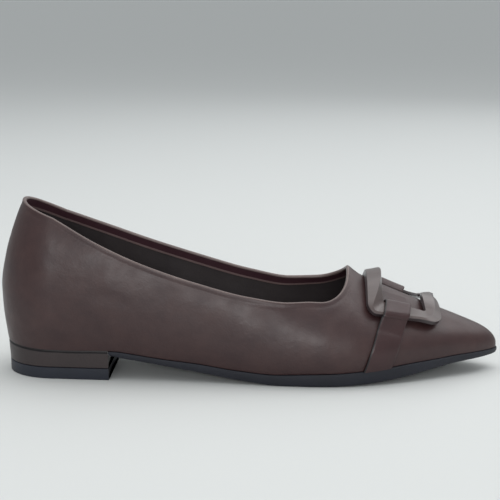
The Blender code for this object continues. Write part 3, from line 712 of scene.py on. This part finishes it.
UPPER = leather("upper_leather", (0.050, 0.023, 0.022), (0.030, 0.012, 0.013), 0.42, Specular_IOR_Level=0.5)
# The roll of the collar's edge: the upper's leather made paler, a painted highlight
COLLAR_RIM_HIGHLIGHT = leather("collar_rim_painted_highlight", (0.150, 0.108, 0.100), (0.105, 0.072, 0.068), 0.36)
BAND = leather("band_leather", (0.043, 0.016, 0.017), (0.028, 0.010, 0.011), 0.40)
FACING = leather("facing_leather", (0.056, 0.022, 0.029), (0.046, 0.017, 0.023), 0.45)
# The facing's cut edge and last row, much paler than the facing: a painted highlight
FACING_EDGE_HIGHLIGHT = leather("facing_edge_painted_highlight", (0.190, 0.130, 0.125), (0.150, 0.100, 0.098), 0.50)
LINING = leather("lining_leather", (0.052, 0.043, 0.044), (0.040, 0.033, 0.034), 0.50)
SOCK = leather("sock_leather", (0.022, 0.018, 0.019), (0.017, 0.014, 0.015), 0.50)
HEEL_COVER = leather("heel_cover", (0.036, 0.024, 0.024), (0.026, 0.018, 0.019), 0.42)
SOLE = rubber("sole_rubber", (0.014, 0.015, 0.024), (0.009, 0.010, 0.016), 0.45)
LIFT = rubber("lift_rubber", (0.021, 0.024, 0.036), (0.016, 0.019, 0.028), 0.50)
# One lacquer in two tones: darker on the walls and underside as painted shade, paler on the faces beside the
# ridge as painted light
RING_WALLS_SHADE = lacquer("ring_walls_painted_shade", (0.042, 0.031, 0.033), (0.032, 0.023, 0.025), 0.30)
RING_FACES_LIT = lacquer("ring_faces_painted_light", (0.084, 0.059, 0.056), (0.064, 0.044, 0.042), 0.34)
# Near-black: edge paint on the straps' narrow edges and the heel's seam, and painted shadow on a strip of each
# strap's top beside its rear edge
EDGE_PAINT_AND_SHADOW = leather("edge_paint_and_shadow", (0.010, 0.007, 0.008), (0.007, 0.005, 0.006), 0.45)


# The upper

# Creases of the leather: side, knots of (station, share of the wall), half-width and depth in millimetres
CREASES = [
    (-1, [(0.40, 0.10), (0.44, 0.30), (0.47, 0.42)], 2.6, 0.10),
    (-1, [(0.49, 0.08), (0.52, 0.26), (0.54, 0.40)], 2.4, 0.10),
    (-1, [(0.16, 0.22), (0.22, 0.27), (0.29, 0.25)], 3.0, 0.10),
    (-1, [(0.60, 0.55), (0.63, 0.62), (0.665, 0.74)], 2.2, 0.12),
    (-1, [(0.62, 0.30), (0.655, 0.45), (0.69, 0.56)], 2.4, 0.12),
    (1, [(0.38, 0.12), (0.43, 0.30), (0.46, 0.48)], 2.6, 0.12),
    (1, [(0.50, 0.10), (0.53, 0.30), (0.55, 0.50)], 2.4, 0.12),
    (1, [(0.61, 0.52), (0.64, 0.62), (0.67, 0.76)], 2.2, 0.14),
    (1, [(0.17, 0.25), (0.23, 0.30), (0.30, 0.28)], 3.0, 0.10),
    (1, [(0.63, 0.28), (0.66, 0.42), (0.70, 0.55)], 2.4, 0.12),
]


def crease_depth(points, side):
    """How far each point of one side sinks: soft troughs with a low ridge on either side."""
    sunk = np.zeros(points.shape[:-1])
    for own, knots, width, depth in CREASES:
        if own != side:
            continue
        width, depth = width / 1000, depth / 1000
        at = np.linspace(0, 1, 13)
        share = np.linspace(0, 1, len(knots))
        s = np.interp(at, share, [k[0] for k in knots]) * LENGTH
        v = np.interp(at, share, [k[1] for k in knots])
        line = last(s, v, side)
        nearest = np.full(points.shape[:-1], 1e9)
        along = np.zeros(points.shape[:-1])
        for i in range(len(line) - 1):
            a, ab = line[i], line[i + 1] - line[i]
            u = np.clip(((points - a) @ ab) / (ab @ ab), 0, 1)
            gap = np.linalg.norm(points - a - u[..., None] * ab, axis=-1)
            closer = gap < nearest
            nearest = np.where(closer, gap, nearest)
            along = np.where(closer, (i + u) / (len(line) - 1), along)
        fade = np.sin(np.pi * np.clip(along, 0, 1)) ** 0.7
        x = nearest / width
        sunk += depth * fade * (np.exp(-x * x) - 0.45 * np.exp(-((x - 1.7) ** 2)))
    return sunk


def distance_to(points, line):
    """Each point's distance from a line of points."""
    nearest = np.full(points.shape[:-1], 1e9)
    for a, b in zip(line, line[1:]):
        ab = b - a
        u = np.clip(((points - a) @ ab) / max(float(ab @ ab), 1e-18), 0, 1)
        nearest = np.minimum(nearest, np.linalg.norm(points - a - u[..., None] * ab, axis=-1))
    return nearest


def unevenness(points):
    """Slow waves that keep the leather from looking cast, in metres."""
    x, y, z = np.moveaxis(points * 1000, -1, 0)
    return 1e-5 * (
        3.2 * np.sin(0.21 * x + 0.33 * z + 1.1)
        + 2.4 * np.sin(0.37 * x - 0.22 * z + 0.19 * y + 0.4)
        + 1.6 * np.sin(0.13 * x + 0.61 * z - 0.3 * y + 2.0)
    )


def troughs(distance, rows):
    return [depth * np.exp(-(((distance - at) / width) ** 2)) for depth, at, width in rows]


def shell(runs, throat):
    """The outer surface: points, normals, and each side's grid of point numbers and t of the top line."""
    t = {side: wall_grid(runs, OUTER_SHARES, side) for side in (-1, 1)}
    points = np.concatenate([surface(runs[:, None], t[side], side).reshape(-1, 3) for side in (-1, 1)])
    lateral, medial = np.arange(len(points)).reshape(2, len(runs), len(OUTER_SHARES))
    # The two sides share the back, the tip and the ridge forward of the throat
    medial[0], medial[-1] = lateral[0], lateral[-1]
    medial[throat:, -1] = lateral[throat:, -1]
    normals = vertex_normals(points, [lateral[:, ::-1], medial])
    if normals[lateral[len(runs) // 2, 3]][1] > 0:
        normals = -normals
    return points, normals, {-1: lateral, 1: medial}, {side: t[side][: throat + 1, -1] for side in (-1, 1)}


def relief(points, grids, runs, throat):
    """How far the leather sinks at each point: creases, waves, the seam up the back, the collar's edge."""
    sunk, seam = np.zeros((2, len(points)))
    hold = blend(0, 0.08, OUTER_SHARES) * (1 - 0.9 * blend(0.9, 1.0, OUTER_SHARES))
    from_back = np.abs(runs + TURN_RUN * math.pi / 2)[:, None] * np.ones(len(OUTER_SHARES))
    for side, grid in grids.items():
        sunk[grid] = (crease_depth(points[grid], side) + unevenness(points[grid])) * hold
        from_top = distance_to(points[grid], points[grid[: throat + 1, -1]])
        seam[grid] = sum(troughs(from_back, SEAM_TROUGHS) + troughs(from_top, COLLAR_TROUGHS))
    return sunk + seam


def facing_rows(run, t, points, normals, heading, side):
    """Rows of (points, normals) from the top line down the wall, and the way that the last one heads."""
    rows, back = [(points, normals)], run[0]
    for _ in range(round(FACING_DEPTH / FACING_STEP)):
        forward, up = slopes(run, t, side)
        base = np.stack([forward, up], -1)
        metric = np.einsum("nki,nkj->nij", base, base)
        aim = np.einsum("nki,nk->ni", base, heading * FACING_STEP)
        step = np.linalg.solve(metric, aim[..., None])[..., 0]
        run, t = run + step[:, 0], np.clip(t + step[:, 1], 0, 1)
        run[0] = back
        here = surface(run, t, side)
        heading = unit(here - rows[-1][0])
        rows.append((here, unit(np.cross(forward, up)) * -side))
    return rows, heading


def build_upper():
    runs, throat = column_runs(*UPPER_COLUMNS)
    points, normals, grids, top = shell(runs, throat)
    outer = points - normals * relief(points, grids, runs, throat)[:, None]
    leather_skin, facing_skin, lining_skin = Skin(), Skin(), Skin()
    numbers = leather_skin.add(in_frame(outer))
    for side, grid in grids.items():
        leather_skin.join(numbers[grid], flip=side > 0)
    # The foot turns in under the edge
    for side, grid in grids.items():
        foot = grid[:, 0]
        level = normals[foot] * [1, 1, 0]
        level /= np.linalg.norm(level, axis=1, keepdims=True)
        inner = leather_skin.add(in_frame(outer[foot] - level * FOOT_TURN + [0, 0, FOOT_RISE]))
        leather_skin.join(np.stack([inner, numbers[foot]], 1), flip=side > 0)

    # The collar's edge is turned over, and a facing lies inside it. The roll takes a paler colour than the
    # upper, a painted highlight along the edge
    for side, grid in grids.items():
        line = grid[: throat + 1, -1]
        line_normals = normals[line]
        along = np.gradient(points[line], axis=0)
        along[0] = [0, side, 0]
        along[-1] = [0, -side, 0]
        away = unit(np.cross(unit(along), line_normals)) * side
        roll = []
        for angle in np.linspace(0, math.pi, ROLL_STEPS):
            lift = math.sin(angle) ** 0.8 * WALL * 0.5
            roll.append(outer[line] - line_normals * ROLL_WIDTH * (1 - math.cos(angle)) / 2 + away * lift)
        roll_numbers = leather_skin.add(in_frame(np.array(roll).transpose(1, 0, 2)))
        leather_skin.join(roll_numbers, slot=1, flip=side > 0)
        rows, heading = facing_rows(runs[: throat + 1], top[side], points[line], line_normals, -away, side)
        strip = [p - n * WALL for p, n in rows]
        bottom, bottom_normal = rows[-1]
        for on, past in FACING_LIP:
            strip.append(bottom + heading * on - bottom_normal * (WALL + past))
        strip_numbers = facing_skin.add(in_frame(np.array(strip).transpose(1, 0, 2)))
        facing_skin.join(strip_numbers[:, :-4], flip=side > 0)
        # The facing's last row and its cut edge take the paler colour, a painted highlight
        facing_skin.join(strip_numbers[:, -5:], slot=1, flip=side > 0)
    inside_numbers = lining_skin.add(in_frame(points - normals * LINING_OFFSET))
    for side, grid in grids.items():
        lining_skin.join(inside_numbers[grid][:, LINING_ROWS], flip=side < 0)
    return (
        leather_skin.build("upper_leather", [UPPER, COLLAR_RIM_HIGHLIGHT], SHARP["upper"]),
        facing_skin.build("collar_facing", [FACING, FACING_EDGE_HIGHLIGHT], SHARP["facing"]),
        lining_skin.build("lining", [LINING], SHARP["lining"]),
    )


# The slabs under it


def plan_point(s, side, out):
    """A point of the foot's outline, moved out at right angles to it, forward of the heel's centre."""
    ahead, behind = min(s + 1e-5, LENGTH), s - 1e-5
    run = unit(np.array([ahead - behind, edge(ahead, side) - edge(behind, side)]))
    return np.array([s - side * out * run[1], edge(s, side) + side * out * run[0]])


def fan_point(turn, side, out):
    """The same round the back of the heel."""
    away = np.array([-math.sin(turn), side * math.cos(turn)])
    return counter(turn, 0, side)[:2] + away * out


def heel_side(side, out, height):
    """One side of the heel from the very back to its breast. The height is a function of station and turn."""
    points = []
    for i in range(FAN_COLUMNS):
        turn = math.pi / 2 * (1 - i / FAN_COLUMNS)
        points.append([*fan_point(turn, side, out), height(HEEL_CENTRE, turn)])
    for s in np.linspace(HEEL_CENTRE, HEEL_BREAST, SHANK_COLUMNS):
        points.append([*plan_point(s, side, out), height(s, 0)])
    return points


def forepart_side(side, out, height, start):
    """One side of the foot from the toe's tip back to a station near the breast."""
    points = [[LENGTH + out, float(edge(LENGTH, side)), height(LENGTH, 0)]]
    for i in range(1, FOREPART_COLUMNS + 1):
        s = LENGTH - (LENGTH - start) * (i / FOREPART_COLUMNS) ** SLAB_CROWDING
        points.append([*plan_point(s, side, out), height(s, 0)])
    return points


def breast(out, height, ahead):
    """Points across the heel's hollowed breast, between its two edges."""
    ends = [plan_point(HEEL_BREAST, side, out) for side in (-1, 1)]
    points = []
    for share in np.linspace(0, 1, BREAST_COLUMNS + 1)[1:-1]:
        x, y = between(ends[0], ends[1], share)
        hollow = BREAST_HOLLOW * (1 - (2 * share - 1) ** 2)
        points.append([x - hollow + ahead, y, height(HEEL_BREAST, 0)])
    return points


def seat_height(drop):
    """A height function: the seat, less a drop, higher round the back of the heel."""

    def height(s, turn):
        return between(float(seat(s)), HEEL_HEIGHT, math.sin(turn) ** 2) - drop

    return height


def sole_height(rise):
    return lambda s, turn: float(underside(s)) + rise


def level_height(z):
    return lambda s, turn: z


def cap(mesh, ring, paired):
    """Closes a ring whose first point is on both sides: a ladder between the sides, then what is left."""
    count = len(ring)
    for i in range(paired):
        corners = [ring[i], ring[i + 1], ring[count - i - 1], ring[(count - i) % count]]
        mesh.faces.new([v for k, v in enumerate(corners) if v not in corners[:k]])
    rest = ring[paired : count - paired + 1]
    if len(rest) > 2:
        bmesh.ops.triangulate(mesh, faces=[mesh.faces.new(rest)])


def wrap(mesh, low, high, slots):
    """Faces between two closed loops of vertices, with a slot for each step round them."""
    for i, slot in enumerate(slots):
        j = (i + 1) % len(low)
        mesh.faces.new((low[i], low[j], high[j], high[i])).material_index = slot


def face_outward(mesh):
    bmesh.ops.recalc_face_normals(mesh, faces=mesh.faces)
    if mesh.calc_volume(signed=True) < 0:
        bmesh.ops.reverse_faces(mesh, faces=mesh.faces)


def slab(name, levels, paired, materials, slots=None):
    """A solid between rings of points, one for each level. paired counts the steps along its two sides."""
    mesh = bmesh.new()
    rings = [[mesh.verts.new(in_frame(point)) for point in ring] for ring in levels]
    for k, (low, high) in enumerate(zip(rings, rings[1:])):
        wrap(mesh, low, high, [slots[k] if slots else 0] * len(low))
    cap(mesh, rings[0], paired)
    cap(mesh, rings[-1], paired)
    face_outward(mesh)
    return finish_mesh(name, mesh, materials, SHARP["slab"])


def heel_ring(out, height):
    lateral, medial = (heel_side(side, out, height) for side in (-1, 1))
    return lateral + breast(out, height, 0) + medial[:0:-1]


def build_heel():
    steps = FAN_COLUMNS + SHANK_COLUMNS - 1
    low = TOP_LIFT + CLEARANCE
    block = [
        heel_ring(-HEEL_DRAFT - 0.00025, level_height(low)),
        heel_ring(-HEEL_DRAFT, level_height(low + 0.0003)),
        *(heel_ring(out, seat_height(CLEARANCE + drop)) for out, drop in HEEL_SEAM),
    ]
    heel = slab("heel_cover", block, steps, [HEEL_COVER, EDGE_PAINT_AND_SHADOW], [0, 0, 1, 1, 1])
    lift = [
        heel_ring(-HEEL_DRAFT - LIFT_BEVEL - 0.0030, level_height(0.0)),
        heel_ring(-HEEL_DRAFT - LIFT_BEVEL, level_height(0.0)),
        heel_ring(-HEEL_DRAFT - LIFT_BEVEL * 0.3, level_height(LIFT_BEVEL * 0.3)),
        heel_ring(-HEEL_DRAFT, level_height(LIFT_BEVEL)),
        heel_ring(-HEEL_DRAFT, level_height(TOP_LIFT - 0.0003)),
        heel_ring(-HEEL_DRAFT - 0.0003, level_height(TOP_LIFT)),
    ]
    return heel, slab("heel_lift", lift, steps, [LIFT])


def build_outsole():
    def ring(out, height):
        start = HEEL_BREAST + CLEARANCE
        lateral, medial = (forepart_side(side, out, height, start) for side in (-1, 1))
        return lateral + breast(out, height, CLEARANCE) + medial[:0:-1]

    levels = [
        *(ring(out, sole_height(rise)) for out, rise in SOLE_CHANNEL),
        ring(SOLE_RIM - SOLE_BEVEL, sole_height(0)),
        ring(SOLE_RIM - SOLE_BEVEL * 0.35, sole_height(SOLE_BEVEL * 0.3)),
        ring(SOLE_RIM, sole_height(SOLE_BEVEL)),
        ring(SOLE_RIM, seat_height(CLEARANCE + 0.0004)),
        ring(SOLE_RIM - 0.0003, seat_height(CLEARANCE)),
        ring(-0.0008, seat_height(CLEARANCE)),
    ]
    return slab("sole", levels, FOREPART_COLUMNS, [SOLE])


def build_insole():
    inside = -WALL - CLEARANCE

    def ring(out, height):
        sides = []
        for side in (-1, 1):
            ahead = forepart_side(side, out, height, HEEL_BREAST)[:0:-1]
            ahead = [point for point in ahead if point[0] < LENGTH + inside - INSOLE_END]
            sides.append(heel_side(side, out, height)[:-1] + ahead)
        lateral, medial = sides
        paired = min(len(lateral), len(medial))
        lateral, medial = lateral[:paired], medial[:paired]
        return lateral + medial[:0:-1], paired - 1

    top = INSOLE_THICKNESS
    levels = ((0.0, 0.0), (0.0, top - 0.0004), (-0.0004, top), (-0.0030, top))
    rings = [ring(inside + out, seat_height(-rise)) for out, rise in levels]
    return slab("insole_sock", [r[0] for r in rings], rings[0][1], [SOCK])


# The ring and its straps


def build_ring():
    mesh = bmesh.new()
    edge_of = {"back": 0.0, "front": 0.0, "side": 0.0}
    loops = [
        ring_loop(edge_of, RING_CORNER, 0.0),
        ring_loop(edge_of, RING_CORNER, RING_WALL),
        ring_loop(RING_RIDGES, RING_CORNER * 0.7, RING_THICKNESS, RING_SWEEP, RING_CROWN),
        ring_loop(RING_BARS, RING_INNER_CORNER, RING_EDGE, -RING_HOLLOW, RING_CROWN),
        ring_loop(RING_BARS, RING_INNER_CORNER, 0.0, -RING_HOLLOW),
    ]
    rings = [[mesh.verts.new(in_frame(point)) for point in loop] for loop in loops]
    # Walls and underside have slot 0, darker as painted shade, and the two faces beside the ridge slot 1, paler
    # as painted light
    for slot, low, high in zip((0, 1, 1, 0, 0), rings, [*rings[1:], rings[0]]):
        wrap(mesh, low, high, [slot] * len(low))
    face_outward(mesh)
    ring = finish_mesh("vamp_ring", mesh, [RING_WALLS_SHADE, RING_FACES_LIT], SHARP["ring"])
    bevel = ring.modifiers.new("edges", "BEVEL")
    bevel.width = RING_BEVEL
    bevel.segments = 2
    bevel.limit_method = "ANGLE"
    bevel.angle_limit = math.radians(SHARP["ring_bevel"])
    return ring


def smooth_lines(lines, count):
    """Lines of points resampled with a Catmull-Rom spline."""
    lines = np.asarray(lines, float)
    before, after = 2 * lines[:, :1] - lines[:, 1:2], 2 * lines[:, -1:] - lines[:, -2:-1]
    padded = np.concatenate([before, lines, after], axis=1)
    at = np.linspace(0, lines.shape[1] - 1, count)
    i = np.minimum(at.astype(int), lines.shape[1] - 2)
    u = (at - i)[None, :, None]
    a, b, c, d = (padded[:, i + k] for k in range(4))
    return 0.5 * (2 * b + (c - a) * u + (2 * a - 5 * b + 4 * c - d) * u**2 + (3 * b - a - 3 * c + d) * u**3)


def build_strap(side):
    offsets = np.array([-0.5, -0.46, *np.linspace(-0.4, 0.4, 11), 0.46, 0.5]) * STRAP_WIDTH
    under = smooth_lines([strap_path(side, offset) for offset in offsets], STRAP_STEPS)
    along = np.gradient(under, axis=1)
    across = np.gradient(under, axis=0)
    away = unit(np.cross(across, along)) * -side
    share = np.abs(offsets) / (STRAP_WIDTH / 2)
    plump = STRAP_THICKNESS * (1 - STRAP_EDGE_LOSS * np.clip((share - 0.86) / 0.14, 0, 1) ** 2)
    thin = 1 - STRAP_TAIL_LOSS * blend(0.90, 1.0, np.linspace(0, 1, STRAP_STEPS))
    over = under + away * plump[:, None, None] * thin[None, :, None]
    mesh = bmesh.new()
    low = [[mesh.verts.new(in_frame(p)) for p in line] for line in under]
    high = [[mesh.verts.new(in_frame(p)) for p in line] for line in over]
    sections = [[line[k] for line in low + high[::-1]] for k in range(STRAP_STEPS)]
    count = len(sections[0])
    # The two narrow edges carry dark edge paint, and the strip of the top beside the rear one is painted
    # shadow, the shade of the gap along that edge
    slots = [int(i + 1 in (len(offsets), count - 1, count)) for i in range(count)]
    for a, b in zip(sections, sections[1:]):
        wrap(mesh, a, b, slots)
    for section in (sections[0], sections[-1]):
        for i in range(len(offsets) - 1):
            mesh.faces.new((section[i], section[i + 1], section[count - i - 2], section[count - i - 1]))
    face_outward(mesh)
    name = "band_lateral" if side < 0 else "band_medial"
    return finish_mesh(name, mesh, [BAND, EDGE_PAINT_AND_SHADOW], SHARP["strap"])


# Floor, light and camera

# The floor's colour: paler near the shoe, a painted pool of light, and greyer far off, painted shade
FLOOR_FAR_SHADE, FLOOR_NEAR_LIGHT = (0.60, 0.62, 0.62, 1), (0.67, 0.685, 0.675, 1)
SKY_LOW, SKY_HIGH = (0.42, 0.45, 0.45, 1), (0.75, 0.77, 0.78, 1)
SKY_STRENGTH = 0.8
# Name, place, what it points at, size and watts
LIGHTS = [
    ("overhead", (0.20, 0.15, 1.3), (0.08, 0.0, 0.0), (1.8, 1.4), 10.2),
    ("front", (0.02, -1.5, 0.47), (0.01, 0.0, 0.05), (0.8, 0.30), 6.4),
    ("toe", (1.1, 0.35, 1.2), (0.17, 0.0, 0.02), (0.9, 0.7), 3.2),
    ("behind", (0.72, 1.25, 0.80), (0.17, 0.0, 0.04), (1.2, 0.7), 2.2),
]
CAMERA_ELEVATION = math.radians(13.0)
CAMERA_TURN = math.radians(2.0)
CAMERA_DISTANCE = 0.65
CAMERA_AIM = (0.0963, 0.0, 0.040)
CAMERA_SHIFT = 0.0832
CAMERA_SENSOR = 36.0
CAMERA_LENS = 92.1


def build_floor():
    """A pale floor that greys slowly with distance: painted light, paler near the shoe, and painted shade
    further off.
    """
    made, tree, shader = material("floor", (0.8, 0.8, 0.8), 0.75)
    shader.inputs["Specular IOR Level"].default_value = 0.2
    coords = tree.nodes.new("ShaderNodeTexCoord").outputs["Object"]
    length = node(tree, "ShaderNodeVectorMath", operation="LENGTH")
    tree.links.new(coords, length.inputs[0])
    ahead = node(tree, "ShaderNodeMath", {1: 0.5}, operation="ADD")
    tree.links.new(length.outputs["Value"], ahead.inputs[0])
    nearness = node(tree, "ShaderNodeMath", {0: 0.5}, operation="DIVIDE")
    tree.links.new(ahead.outputs["Value"], nearness.inputs[1])
    shades = node(tree, "ShaderNodeValToRGB")
    tree.links.new(nearness.outputs["Value"], shades.inputs["Fac"])
    far, near = shades.color_ramp.elements
    far.position, far.color = 0.0, FLOOR_FAR_SHADE
    near.position, near.color = 1.0, FLOOR_NEAR_LIGHT
    tree.links.new(shades.outputs["Color"], shader.inputs["Base Color"])
    bpy.ops.mesh.primitive_circle_add(vertices=96, radius=60, fill_type="NGON")
    floor = bpy.context.object
    floor.name = "floor"
    floor.data.materials.append(made)


def area_light(name, location, aim, size, power):
    data = bpy.data.lights.new(name, "AREA")
    data.shape = "RECTANGLE"
    data.size, data.size_y = size
    data.energy = power
    light = bpy.data.objects.new(name, data)
    light.visible_camera = False
    bpy.context.collection.objects.link(light)
    light.location = location
    direction = np.array(aim) - np.array(location)
    light.rotation_mode = "QUATERNION"
    light.rotation_quaternion = Vector(direction).to_track_quat("-Z", "Y")


def build_light():
    world = bpy.data.worlds.new("studio")
    bpy.context.scene.world = world
    world.use_nodes = True
    tree = world.node_tree
    background = tree.nodes["Background"]
    coords = tree.nodes.new("ShaderNodeTexCoord").outputs["Generated"]
    parts = tree.nodes.new("ShaderNodeSeparateXYZ")
    tree.links.new(coords, parts.inputs["Vector"])
    shades = tree.nodes.new("ShaderNodeValToRGB")
    tree.links.new(parts.outputs["Z"], shades.inputs["Fac"])
    low, high = shades.color_ramp.elements
    low.position, low.color = 0.0, SKY_LOW
    high.position, high.color = 0.6, SKY_HIGH
    tree.links.new(shades.outputs["Color"], background.inputs["Color"])
    background.inputs["Strength"].default_value = SKY_STRENGTH
    for row in LIGHTS:
        area_light(*row)


def build_camera():
    data = bpy.data.cameras.new("camera")
    camera = bpy.data.objects.new("camera", data)
    bpy.context.collection.objects.link(camera)
    data.sensor_width = CAMERA_SENSOR
    data.lens = CAMERA_LENS
    data.shift_y = CAMERA_SHIFT
    level = math.cos(CAMERA_ELEVATION) * CAMERA_DISTANCE
    camera.location = (
        CAMERA_AIM[0] + level * math.sin(CAMERA_TURN),
        CAMERA_AIM[1] - level * math.cos(CAMERA_TURN),
        CAMERA_AIM[2] + math.sin(CAMERA_ELEVATION) * CAMERA_DISTANCE,
    )
    camera.rotation_euler = (math.pi / 2 - CAMERA_ELEVATION, 0, CAMERA_TURN)
    bpy.context.scene.camera = camera


def main():
    upper, facing, lining = build_upper()
    heel, lift = build_heel()
    sole = build_outsole()
    insole = build_insole()
    ring = build_ring()
    lateral, medial = build_strap(-1), build_strap(1)
    pieces = (
        (upper, "upper_leather", "upper"),
        (facing, "upper_leather", None),
        (lining, "lining", None),
        (heel, "upper_leather", "heel_block"),
        (lift, "top_lift", "top_lift"),
        (sole, "sole", "outsole"),
        (insole, "lining", "insole"),
        (ring, "ring", "buckle_ring"),
        (lateral, "upper_leather", "strap_lateral"),
        (medial, "upper_leather", "strap_medial"),
    )
    for piece, slot, replaced in pieces:
        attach(piece, "root")
        if replaced:
            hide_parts(replaced)
    build_floor()
    build_light()
    build_camera()
    bpy.context.scene.view_settings.view_transform = "Standard"


main()
